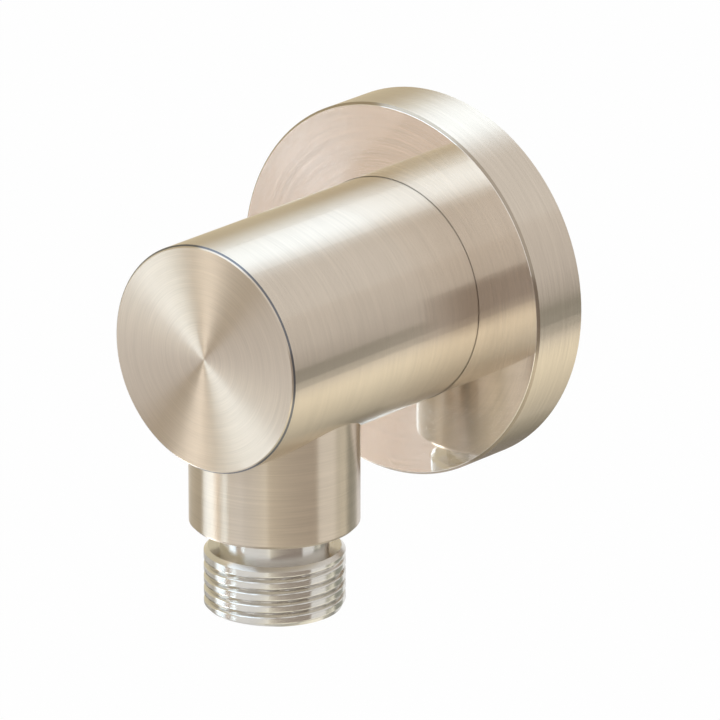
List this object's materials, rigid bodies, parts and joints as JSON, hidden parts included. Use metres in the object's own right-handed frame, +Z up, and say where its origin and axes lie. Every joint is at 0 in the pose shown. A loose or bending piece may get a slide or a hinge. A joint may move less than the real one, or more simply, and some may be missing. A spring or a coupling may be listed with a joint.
{
  "type": "wall outlet elbow",
  "caption": "Round wall outlet for a shower hose: a barrel comes out of a disc flange and a short stub with a threaded hose nipple points down; a non-return valve sits inside.",
  "frame": {"origin": "centre of the wall flange's back face, on the inlet nipple's axis, in the wall plane", "axes": "+Y goes into the wall along the inlet nipple, +Z is up and the hose outlet points along -Z; +X is right when one looks at the wall"},
  "size_m": [0.057, 0.064, 0.0706],
  "materials": {
    "brushed_nickel": "warm nickel plate, brushed round each turned face",
    "polished_nickel": "polished warm nickel plate",
    "plain_brass": "turned, not plated",
    "foam_gasket": "closed-cell foam rubber",
    "black_rubber": "moulded rubber",
    "white_plastic": "moulded acetal",
    "grey_plastic": "moulded acetal",
    "spring_steel": "drawn stainless wire"
  },
  "bodies": {
    "fitting": {"elbow_body": "brushed_nickel", "wall_flange": "brushed_nickel", "hose_nipple": "polished_nickel", "wall_nipple": "plain_brass", "flange_gasket": "foam_gasket", "flange_o_ring": "black_rubber", "wall_nipple_o_ring": "black_rubber", "hose_nipple_o_ring": "black_rubber", "valve_o_ring": "black_rubber", "valve_seat": "white_plastic", "valve_cage": "white_plastic", "valve_spring": "spring_steel"},
    "poppet": {"valve_poppet": "grey_plastic", "poppet_seal": "black_rubber"}
  },
  "joints": [
    {"name": "valve_lift", "type": "slide", "parent": "fitting", "child": "poppet", "axis": [0, 0, -1], "range_m": [0, 0.0025], "stiffness_N_per_m": 60, "springref_m": -0.004, "deforming": ["valve_spring"]}
  ]
}
